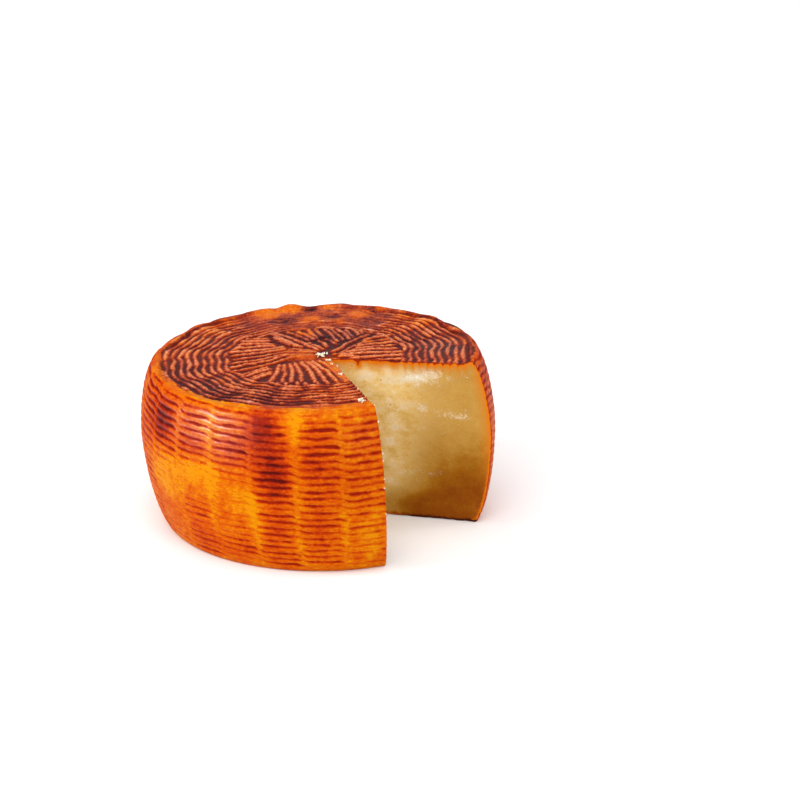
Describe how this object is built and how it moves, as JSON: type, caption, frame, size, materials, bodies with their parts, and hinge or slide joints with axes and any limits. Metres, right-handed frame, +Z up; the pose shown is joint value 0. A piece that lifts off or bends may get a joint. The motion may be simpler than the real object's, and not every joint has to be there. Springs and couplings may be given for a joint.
{
  "type": "wheel of aged pecorino cheese with a wedge cut out",
  "caption": "Round barrel-shaped hard cheese with a basket-woven rind and an open wedge-shaped notch, to stand on a table, board or counter.",
  "frame": {"origin": "middle of the wheel's outline on the surface it stands on", "axes": "+Z up out of the top face; the notch opens between +X and -Y"},
  "size_m": [0.2008, 0.2006, 0.0985],
  "materials": {
    "rind": "oiled orange rind, satin to glossy on the reeds, dark brown in the grooves",
    "paste": "knife-cut hard cheese, matt, fine crumb"
  },
  "bodies": {
    "root": {"cheese_wheel": "rind"}
  },
  "joints": []
}
